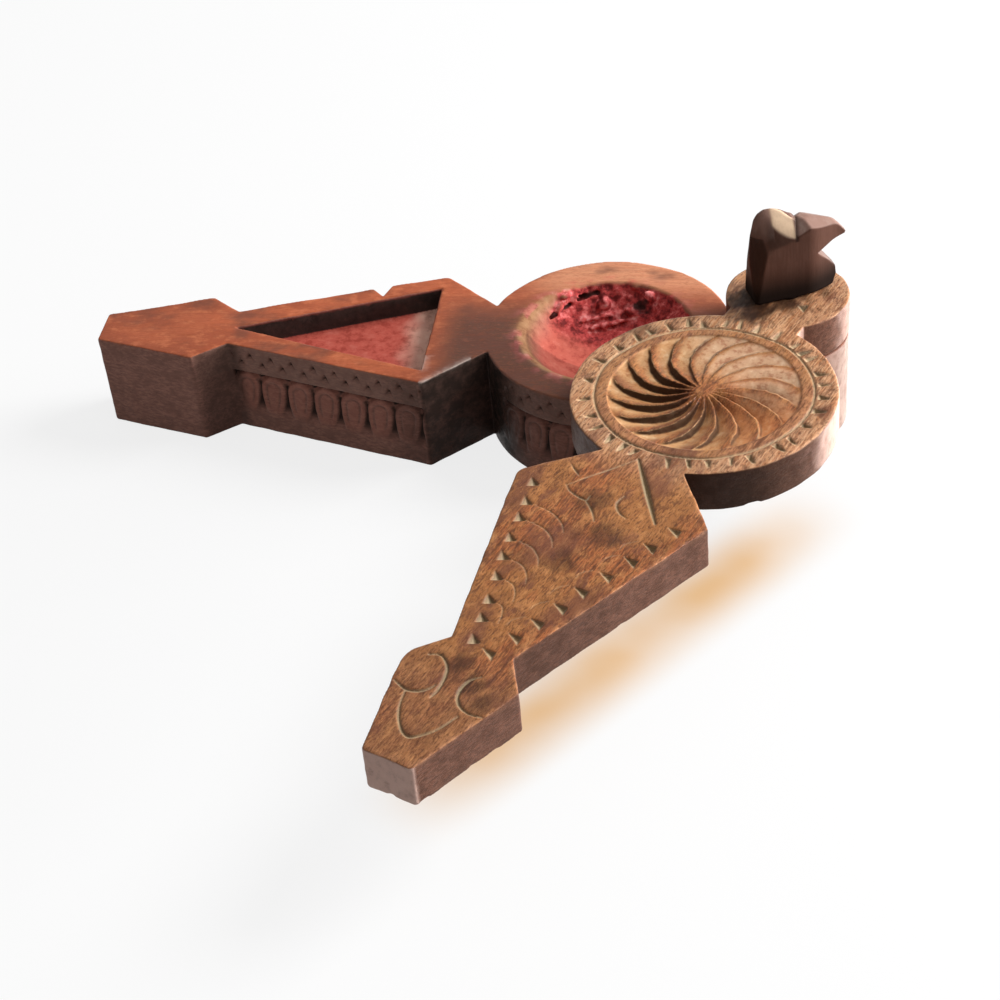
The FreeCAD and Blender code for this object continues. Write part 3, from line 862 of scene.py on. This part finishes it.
def facet(along, across, rise, a, b, c):
    """The signed distance to the plane through three points, negative towards the bird's middle."""
    a, b, c = (np.array(point) for point in (a, b, c))
    normal = np.cross(b - a, c - a)
    normal = normal / np.linalg.norm(normal)
    if normal[1] < 0:
        normal = -normal
    return (along - a[0]) * normal[0] + (across - a[1]) * normal[1] + (rise - a[2]) * normal[2]


def bird_body(grid):
    """The bird's and the peg's distances, with the hole for the pin."""
    along = grid.x - PIVOT_X
    across = np.abs(grid.y - BIRD_SET_BACK)
    rise = grid.z - BIRD_BOTTOM
    plan_along, plan_rise = np.meshgrid(along.ravel(), rise.ravel(), indexing="ij")
    side_view = in_polygon(plan_along, plan_rise, BIRD_SIDE_VIEW)
    side_view = side_view + 0.06 * noise(plan_along / 2, plan_rise / 2, 60.0)
    thick = BIRD_HALF - 2.7 * ramp(3.5, 12.6, plan_along)
    body = smooth_max(side_view[:, None, :], across - thick[:, None, :], 0.3)
    valley = SADDLE[0] + (NOTCH[0] - SADDLE[0]) * across / BIRD_HALF
    for corners in HEAD_FACETS:
        body = smooth_max(body, np.minimum(facet(along, across, rise, *corners), valley - along), 0.45)
    for corners in TAIL_FACETS:
        body = smooth_max(body, np.minimum(facet(along, across, rise, *corners), along - valley), 0.3)
    shank = np.maximum(np.hypot(along, grid.y) - PEG_RADIUS, grid.z - BIRD_BOTTOM - 0.2)
    shank = smooth_max(shank, PEG_BOTTOM - grid.z, 0.4)
    body = np.minimum(body, shank)
    pin_hole = PIN_RADIUS + 0.02 - np.hypot(along, grid.z - PIN_HEIGHT)
    return np.maximum(body, np.broadcast_to(pin_hole, body.shape))


def bird_layers(points, normals):
    """How far each colour of the bird's wood shows: pale on the brow facet, bare wood with a painted
    highlight where it faces the lamp, painted shade on the cheek and chest, and dark at the foot and the
    crease.
    """
    along = points[:, 0] - PIVOT_X
    across = np.abs(points[:, 1] - BIRD_SET_BACK)
    rise = points[:, 2] - BIRD_BOTTOM
    on_bird = rise > 0.3
    brow, cheek, _, chest = (np.abs(facet(along, across, rise, *corners)) for corners in HEAD_FACETS)
    # Painted highlight on the brow facet that faces the lamp
    bright = ramp(0.3, 0.12, brow)
    bright = bright * ramp(NOTCH[0] + 0.5, NOTCH[0] - 0.3, along)
    bright = bright * ramp(BROW[0] - 0.1, BROW[0] + 0.7, along)
    tail_top = ramp(0.4, 0.75, normals[:, 2]) * (along > NOTCH[0])
    face = ramp(13.0, 17.5, rise + 0.8 * noise(along, across, rise)) * (along < BROW[0] + 0.7)
    foot = ramp(9.0, 1.2, rise)
    cheek = ramp(0.3, 0.1, cheek) * (along < NOTCH[0]) * (rise > 12)
    chest = ramp(0.4, 0.1, chest) * (rise < 14.5)
    # Painted shade on the cheek and chest facets, turned from the lamp
    shaded = np.maximum(0.5 * cheek * (1 - bright), 0.55 * chest)
    crease = np.exp(-(np.abs(along - SADDLE[0] + 0.23 * across) / 0.45) ** 2) * (rise > 13)
    return {
        "deep_and_painted_shade": np.maximum(np.maximum(foot, shaded), 0.7 * crease),
        "flat": on_bird * np.maximum(np.maximum(tail_top, bright), 0.7 * face),
        "under": ramp(0.5, 0.8, -normals[:, 2]), "pale": on_bird * bright * (rise > 13),
    }


def build_bird():
    low = (PIVOT_X - 10.5, -5.5, PEG_BOTTOM - 0.6)
    grid = Grid(low, (PIVOT_X + 13.5, 6.5, BIRD_BOTTOM + 20.5), BIRD_VOXEL)
    bird = mesh_from(bird_body(grid), grid, "bird_peg_carved")
    points, normals = vertices_of(bird)
    paint(bird, grain=points[:, [2, 0, 1]], **blank_layers(points) | bird_layers(points, normals))
    settle(bird, "peg", "bird_peg", BIRD_TURN)
    return bird


def build_pin():
    low = (PIVOT_X - 1.8, -PIN_LENGTH / 2 - 0.6, PIN_HEIGHT - 1.8)
    grid = Grid(low, (PIVOT_X + 1.8, PIN_LENGTH / 2 + 0.6, PIN_HEIGHT + 1.8), PIN_VOXEL)
    spin = np.arctan2(grid.z - PIN_HEIGHT, grid.x - PIVOT_X)
    whittled = PIN_RADIUS * (1 - 0.035 * (1 + np.cos(7 * spin + 0.3 * grid.y)))
    off_side = np.hypot(grid.x - PIVOT_X, grid.z - PIN_HEIGHT) - whittled
    pin = mesh_from(smooth_max(off_side, np.abs(grid.y) - PIN_LENGTH / 2, 0.3), grid, "cross_pin_whittled")
    points, _ = vertices_of(pin)
    paint(pin, grain=points[:, [1, 0, 2]], **blank_layers(points) | {"flat": np.ones(len(points))})
    settle(pin, "peg", "cross_pin", BIRD_TURN)
    return pin


# Materials

class Nodes:
    """A node tree, put together node by node; an input is given by its name, or by i and its number."""

    def __init__(self, tree):
        self.tree = tree

    def node(self, kind, settings=None, **inputs):
        made = self.tree.nodes.new("ShaderNode" + kind)
        for name, value in (settings or {}).items():
            setattr(made, name, value)
        for name, value in inputs.items():
            self.feed(made.inputs[int(name[1:]) if name[0] == "i" and name[1:].isdigit() else name], value)
        return made

    def feed(self, socket, value):
        if isinstance(value, bpy.types.NodeSocket):
            self.tree.links.new(value, socket)
        else:
            socket.default_value = value

    def math(self, operation, a, b=0.0):
        return self.node("Math", {"operation": operation}, i0=a, i1=b).outputs[0]


class Shader(Nodes):
    """A new material's node tree."""

    def __init__(self, name):
        self.material = bpy.data.materials.new(name)
        self.material.use_nodes = True
        super().__init__(self.material.node_tree)
        self.surface = self.tree.nodes["Principled BSDF"]

    def layer(self, name):
        return self.node("Attribute", {"attribute_name": name}).outputs["Fac"]

    def grain(self, stretch):
        place = self.node("Attribute", {"attribute_name": "grain"}).outputs["Vector"]
        return self.node("VectorMath", {"operation": "MULTIPLY"}, i0=place, i1=stretch).outputs[0]

    def noise(self, stretch, detail=4.0, roughness=0.55):
        place = self.grain(stretch)
        made = self.node("TexNoise", Vector=place, Scale=1.0, Detail=detail, Roughness=roughness)
        return made.outputs["Fac"]

    def range(self, value, low, high, to_low=0.0, to_high=1.0):
        made = self.node("MapRange", {"interpolation_type": "SMOOTHSTEP"}, i0=value, i1=low, i2=high,
                         i3=to_low, i4=to_high)
        return made.outputs[0]

    def mix(self, share, a, b, blend="MIX"):
        made = self.node("Mix", {"data_type": "RGBA", "blend_type": blend})
        self.feed(made.inputs[0], share)
        self.feed(made.inputs[6], a if isinstance(a, bpy.types.NodeSocket) else (*a, 1.0))
        self.feed(made.inputs[7], b if isinstance(b, bpy.types.NodeSocket) else (*b, 1.0))
        return made.outputs[2]

    def tint(self, colour, source, low, high, most, over):
        """The colour with another over it, more where the source goes from low to high."""
        return self.mix(self.range(source, low, high, 0.0, most), colour, over)

    def bump(self, height, strength, depth_mm):
        made = self.node("Bump", Height=height, Strength=strength, Distance=depth_mm * MM)
        self.feed(self.surface.inputs["Normal"], made.outputs["Normal"])


# How softly a coat's darker and lighter flakes run together, where it is not 1
FLAKE_SPREAD = {"flaky": 0.75, "bowl": 1.4, "clump": 0.6, "ashen": 1.6, "end": 1.8}


def wood(name, colours, gloss, figure, coats=(), specular=0.1):
    """Hand-worn wood: streaks along the grain, stains, worn edges, pale cuts, grime together with painted
    shade, and coats of colour, some of them painted light and some painted shade.

    The gloss is the middle roughness, the figure is how strongly the grain shows, and the specular is
    the level of the mirrored light. A coat is the layer it lies on, its darker, middle and lighter
    colours, and its roughness.
    """
    shader = Shader(name)
    streaks = shader.noise((0.14, 2.2, 2.2), 8.0, 0.7)
    fibres = shader.noise((0.8, 3.2, 3.2), 4.0, 0.7)
    stains = shader.noise((0.07, 0.10, 0.10), 3.0, 0.5)
    blotch = shader.noise((0.28, 0.42, 0.42), 5.0, 0.65)
    pores = shader.noise((0.8, 4.8, 4.8), 3.0, 0.6)
    mottle = shader.noise((0.35, 0.9, 0.9), 7.0, 0.7)
    patches = shader.noise((0.05, 0.09, 0.09), 4.0, 0.6)
    smudges = shader.noise((0.16, 0.30, 0.30), 5.0, 0.65)
    streaked = shader.range(streaks, 0.36, 0.6, 1 - figure, 1.0)
    pale = shader.mix(streaked, colours["mid"], colours["pale"])
    dull = shader.mix(shader.range(streaks, 0.36, 0.6), colours["stain"], colours["dull"])
    colour = shader.mix(shader.range(streaks, 0.40, 0.57, 1 - figure, 1.0), colours["dark"], colours["mid"])
    colour = shader.tint(colour, patches, 0.44, 0.56, 0.9, colours["patch"])
    colour = shader.tint(colour, blotch, 0.47, 0.68, 0.7, colours["light"])
    colour = shader.mix(shader.layer("pale"), colour, pale)
    colour = shader.mix(shader.layer("dull"), colour, dull)
    tints = [(fibres, 0.56, 0.66, 0.6 * figure, "light"), (fibres, 0.48, 0.40, 0.9 * figure, "dark"),
             (stains, 0.52, 0.66, 0.7, "stain"), (smudges, 0.54, 0.68, 0.8 * figure, "stain"),
             (mottle, 0.48, 0.36, 0.75 * figure, "dark"), (mottle, 0.56, 0.70, 0.5 * figure, "light"),
             (pores, 0.60, 0.70, 0.7 * figure, "deep_and_painted_shade")]
    for source, low, high, most, over in tints:
        colour = shader.tint(colour, source, low, high, most, colours[over])
    side = shader.mix(shader.range(streaks, 0.36, 0.64), colours["side_dark"], colours["side"])
    side = shader.tint(side, fibres, 0.5, 0.66, 0.4 * figure, colours["stain"])
    side = shader.tint(side, blotch, 0.46, 0.62, 0.7, colours["side_dark"])
    colour = shader.mix(shader.layer("flat"), side, colour)
    colour = shader.mix(shader.layer("under"), colour, colours["under"])
    ragged = shader.math("MULTIPLY", shader.layer("wear"), shader.range(blotch, 0.46, 0.62, 0.0, 1.0))
    colour = shader.mix(ragged, colour, colours["worn"])
    rough = shader.range(blotch, 0.3, 0.7, gloss - 0.08, gloss + 0.12)
    for layer, low, middle, high, coat_roughness in coats:
        spread = FLAKE_SPREAD.get(layer, 1.0)
        flakes = shader.noise((0.45, 0.45, 0.45), 7.0, 0.7)
        coat = shader.mix(shader.range(flakes, 0.50 - 0.13 * spread, 0.52), low, middle)
        coat = shader.mix(shader.range(flakes, 0.52, 0.55 + 0.15 * spread), coat, high)
        colour = shader.mix(shader.layer(layer), colour, coat)
        rough = shader.math("MAXIMUM", rough, shader.math("MULTIPLY", shader.layer(layer), coat_roughness))
    # Darkened by grime and by painted shade
    dirt_and_shade_share = shader.math("MULTIPLY", shader.layer("dirt_and_painted_shade"), shader.range(blotch, 0.3, 0.6, 0.82, 1.0))
    colour = shader.mix(dirt_and_shade_share, colour, colours["deep_and_painted_shade"])
    colour = shader.mix(shader.math("MULTIPLY", shader.layer("cut"), 0.65), colour, colours["cut"])
    # Painted dark: carved hollows, and shade painted on faces turned from the lamp
    colour = shader.mix(shader.math("MULTIPLY", shader.layer("deep_and_painted_shade"), 0.92), colour, colours["deep_and_painted_shade"])
    shader.feed(shader.surface.inputs["Base Color"], colour)
    rough = shader.math("MAXIMUM", rough, shader.math("MULTIPLY", shader.layer("deep_and_painted_shade"), 0.8))
    shader.feed(shader.surface.inputs["Roughness"], rough)
    relief = shader.math("ADD", shader.math("MULTIPLY", fibres, 0.6), streaks)
    shader.bump(relief, 0.6 * figure, 0.3)
    shader.surface.inputs["Specular IOR Level"].default_value = specular
    return shader.material


def powder(name):
    """Dry caked powder."""
    shader = Shader(name)
    clumps = shader.noise((0.9, 0.9, 0.9), 6.0, 0.65)
    specks = shader.noise((5.0, 5.0, 5.0), 3.0, 0.6)
    colour = shader.mix(shader.range(clumps, 0.3, 0.65), (0.34, 0.046, 0.040), (0.52, 0.096, 0.076))
    colour = shader.tint(colour, specks, 0.55, 0.75, 0.6, (0.64, 0.17, 0.14))
    shader.feed(shader.surface.inputs["Base Color"], colour)
    shader.feed(shader.surface.inputs["Roughness"], shader.range(specks, 0.3, 0.7, 0.8, 0.98))
    shader.bump(shader.math("ADD", clumps, specks), 0.4, 0.3)
    return shader.material


LID_COLOURS = {
    "dark": (0.10, 0.034, 0.015), "mid": (0.375, 0.120, 0.040), "light": (0.49, 0.218, 0.080),
    "pale": (0.66, 0.41, 0.24), "dull": (0.25, 0.120, 0.063), "patch": (0.32, 0.130, 0.042),
    "stain": (0.14, 0.048, 0.028), "side": (0.152, 0.068, 0.044), "side_dark": (0.080, 0.036, 0.023),
    "under": (0.42, 0.19, 0.075), "worn": (0.66, 0.33, 0.19), "cut": (0.74, 0.60, 0.37),
    "deep_and_painted_shade": (0.030, 0.012, 0.006),
}
LID_COATS = [
    # The ember, petal and blush coats are the carved slopes' golden wood, laid on where the slopes are
    # painted as lit
    ("ember", (0.38, 0.108, 0.034), (0.63, 0.200, 0.060), (0.72, 0.31, 0.115), 0.4),
    ("petal", (0.37, 0.150, 0.055), (0.50, 0.270, 0.122), (0.60, 0.405, 0.235), 0.4),
    ("blush", (0.35, 0.158, 0.085), (0.51, 0.305, 0.18), (0.60, 0.40, 0.265), 0.4),
    # The end coat is the tip's pale end grain, and a painted sheen on the sides that face the right
    ("end", (0.44, 0.275, 0.22), (0.64, 0.42, 0.35), (0.72, 0.50, 0.42), 0.5),
]
# The sides' colours are painted light for the front sides, which lie in shade; the sides that face the rear
# are painted darker in side_shade
TRAY_COLOURS = {
    "dark": (0.22, 0.058, 0.026), "mid": (0.42, 0.106, 0.047), "light": (0.55, 0.168, 0.078),
    "pale": (0.56, 0.245, 0.135), "dull": (0.100, 0.047, 0.032), "patch": (0.32, 0.078, 0.036),
    "stain": (0.12, 0.048, 0.034), "side": (0.39, 0.185, 0.140), "side_dark": (0.232, 0.115, 0.089),
    "under": (0.12, 0.06, 0.04), "worn": (0.56, 0.18, 0.08), "cut": (0.09, 0.034, 0.024),
    "deep_and_painted_shade": (0.017, 0.012, 0.010),
}
TRAY_COATS = [
    ("ashen", (0.18, 0.112, 0.088), (0.265, 0.175, 0.14), (0.33, 0.235, 0.19), 0.55),
    ("glint", (0.42, 0.33, 0.28), (0.70, 0.62, 0.56), (0.80, 0.74, 0.68), 0.4),
    ("tongue", (0.30, 0.10, 0.07), (0.42, 0.15, 0.105), (0.50, 0.20, 0.145), 0.5),
    ("well", (0.34, 0.056, 0.040), (0.48, 0.094, 0.068), (0.54, 0.135, 0.10), 0.6),
    # The tan end is painted bright as lit, though the end wall shades it; the walls are painted dark with
    # shade as well as stain
    ("tan", (0.68, 0.35, 0.265), (0.90, 0.51, 0.39), (0.93, 0.58, 0.45), 0.6),
    ("wall", (0.036, 0.025, 0.022), (0.052, 0.033, 0.029), (0.082, 0.045, 0.037), 0.6),
    ("rim", (0.205, 0.088, 0.042), (0.29, 0.148, 0.072), (0.335, 0.195, 0.102), 0.55),
    ("smear", (0.30, 0.055, 0.06), (0.48, 0.12, 0.12), (0.68, 0.30, 0.27), 0.7),
    ("bowl", (0.40, 0.068, 0.050), (0.56, 0.130, 0.092), (0.66, 0.215, 0.155), 0.7),
    ("flaky", (0.17, 0.022, 0.022), (0.48, 0.062, 0.058), (0.80, 0.20, 0.185), 0.75),
    ("clump", (0.62, 0.10, 0.10), (0.86, 0.25, 0.24), (0.92, 0.45, 0.42), 0.75),
]
BIRD_COLOURS = LID_COLOURS | {
    "dark": (0.19, 0.11, 0.085), "mid": (0.255, 0.158, 0.130), "light": (0.40, 0.30, 0.26),
    "pale": (0.58, 0.42, 0.285), "patch": (0.28, 0.175, 0.145), "stain": (0.19, 0.105, 0.080),
    "side": (0.105, 0.050, 0.036), "side_dark": (0.088, 0.040, 0.028), "under": (0.06, 0.03, 0.02),
    "deep_and_painted_shade": (0.006, 0.004, 0.003),
}
PIN_COLOURS = LID_COLOURS | {"mid": (0.33, 0.21, 0.12), "dark": (0.22, 0.13, 0.07)}


# Stage
CAMERA_PLACE = (42.35, -360.84, 269.55)
CAMERA_RIGHT = (0.98909, 0.12369, -0.07997)
CAMERA_UP = (-0.01615, 0.63073, 0.77583)
CAMERA_BACK = (0.1464, -0.76608, 0.62585)
CAMERA_LENS = 75.22
FLOOR_HALF_SIZE = 3.0
FLOOR_OWN_LIGHT = 0.84
FLOOR_BOUNCE = 0.4
FLOOR_WHITE = 0.93
WORLD_TOWARDS = (0.50, 0.40, 0.77)
WORLD_DIM = 0.18
WORLD_FILL = 0.50
FLOOR_GLOW = 0.955
# The lid's warm reflection, painted on the floor: its colour, middle, turn and reach
WARM_COLOUR = (0.80, 0.47, 0.19)
WARM_CENTRE = (0.0090, -0.0745, 0.0)
WARM_TURN = math.radians(50.5)
WARM_REACH = (0.064, 0.0135, 1.0)
KEY_PLACE = (0.62, 0.28, 0.62)
KEY_TARGET = (0.0, -0.03, 0.02)
KEY_SIZE = 0.48
KEY_POWER = 9.0
SIDE_PLACE = (0.88, 0.20, 0.12)
SIDE_TARGET = (0.02, -0.03, 0.02)
SIDE_SIZE = 0.3
SIDE_POWER = 19.0


def build_camera():
    data = bpy.data.cameras.new("camera")
    data.sensor_width = 36.0
    data.lens = CAMERA_LENS
    data.clip_start = 0.01
    camera = bpy.data.objects.new("camera", data)
    columns = [Vector(CAMERA_RIGHT), Vector(CAMERA_UP), Vector(CAMERA_BACK), Vector(CAMERA_PLACE) * MM]
    camera.matrix_world = Matrix([[column[row] for column in columns] for row in range(3)] + [[0, 0, 0, 1]])
    bpy.context.collection.objects.link(camera)
    bpy.context.scene.camera = camera


def area_light(name, place, target, size, power):
    data = bpy.data.lights.new(name, "AREA")
    data.shape = "DISK"
    data.size = size
    data.energy = power
    light = bpy.data.objects.new(name, data)
    light.location = place
    light.rotation_euler = (Vector(target) - Vector(place)).to_track_quat("-Z", "Y").to_euler()
    bpy.context.collection.objects.link(light)


def warm_share(shader):
    """How much of the lid's warm reflection is painted on a place on the floor."""
    place = shader.node("NewGeometry").outputs["Position"]
    turned = shader.node("Mapping", {"vector_type": "TEXTURE"}, Vector=place, Location=WARM_CENTRE,
                         Rotation=(0, 0, WARM_TURN), Scale=WARM_REACH)
    parts = shader.node("SeparateXYZ", Vector=turned.outputs[0])
    along = shader.range(shader.math("ABSOLUTE", parts.outputs["X"]), 0.5, 1.0, 1.0, 0.0)
    across = shader.range(shader.math("ABSOLUTE", parts.outputs["Y"]), 0.0, 1.0, 1.0, 0.0)
    ragged = shader.node("TexNoise", Vector=place, Scale=45.0, Detail=2.0).outputs["Fac"]
    share = shader.math("MULTIPLY", along, across)
    return shader.math("MULTIPLY", share, shader.range(ragged, 0.2, 0.7, 0.7, 1.0))


def sees_backdrop(nodes):
    """One for a ray that looks at the backdrop or mirrors it, nought for one that only gathers light."""
    path = nodes.node("LightPath")
    seen = path.outputs["Is Camera Ray"]
    for kind in ("Is Glossy Ray", "Is Transmission Ray"):
        seen = nodes.math("MAXIMUM", seen, path.outputs[kind])
    return seen


def build_stage():
    mesh = bpy.data.meshes.new("floor")
    h = FLOOR_HALF_SIZE
    mesh.from_pydata([(-h, -h, 0), (h, -h, 0), (h, h, 0), (-h, h, 0)], [], [(0, 1, 2, 3)])
    floor = bpy.data.objects.new("floor", mesh)
    bpy.context.collection.objects.link(floor)
    shader = Shader("floor_white")
    seen = sees_backdrop(shader)
    white = shader.node("BsdfDiffuse", Color=shader.mix(seen, (FLOOR_BOUNCE,) * 3, (FLOOR_WHITE,) * 3))
    glow_colour = shader.mix(warm_share(shader), (FLOOR_GLOW,) * 3, WARM_COLOUR)
    glow = shader.node("Emission", Color=glow_colour, Strength=1.0)
    share = shader.math("MULTIPLY", seen, FLOOR_OWN_LIGHT)
    blend = shader.node("MixShader", i0=share, i1=white.outputs[0], i2=glow.outputs[0])
    shader.feed(shader.tree.nodes["Material Output"].inputs["Surface"], blend.outputs[0])
    mesh.materials.append(shader.material)
    build_world()
    area_light("key", KEY_PLACE, KEY_TARGET, KEY_SIZE, KEY_POWER)
    area_light("side", SIDE_PLACE, SIDE_TARGET, SIDE_SIZE, SIDE_POWER)
    bpy.context.scene.view_settings.view_transform = "Standard"


def build_world():
    """White where it is seen; as light, strongest from behind on the right."""
    world = bpy.data.worlds.new("studio")
    bpy.context.scene.world = world
    world.use_nodes = True
    sky = Nodes(world.node_tree)
    direction = sky.node("TexCoord").outputs["Generated"]
    towards = sky.node("VectorMath", {"operation": "DOT_PRODUCT"}, i0=direction, i1=WORLD_TOWARDS)
    fill = sky.node("MapRange", i0=towards.outputs["Value"], i1=-0.5, i2=1.0, i3=WORLD_DIM, i4=WORLD_FILL)
    level = sky.node("MapRange", i0=sees_backdrop(sky), i3=fill.outputs[0], i4=1.0)
    backdrop = sky.tree.nodes["Background"]
    backdrop.inputs["Color"].default_value = (1, 1, 1, 1)
    sky.feed(backdrop.inputs["Strength"], level.outputs[0])


def dress(piece, material):
    piece.data.materials.append(material)


build_camera()
build_stage()
dress(build_lid(), wood("lid_wood_worn", LID_COLOURS, 0.38, 0.85, LID_COATS, specular=0.10))
dress(build_tray(), wood("tray_wood_stained", TRAY_COLOURS, 0.42, 0.28, TRAY_COATS, specular=0.06))
dress(build_crust(), powder("red_powder_caked"))
dress(build_bird(), wood("bird_wood_cut", BIRD_COLOURS, 0.36, 0.10, specular=0.04))
dress(build_pin(), wood("pin_wood_plain", PIN_COLOURS, 0.55, 0.6))
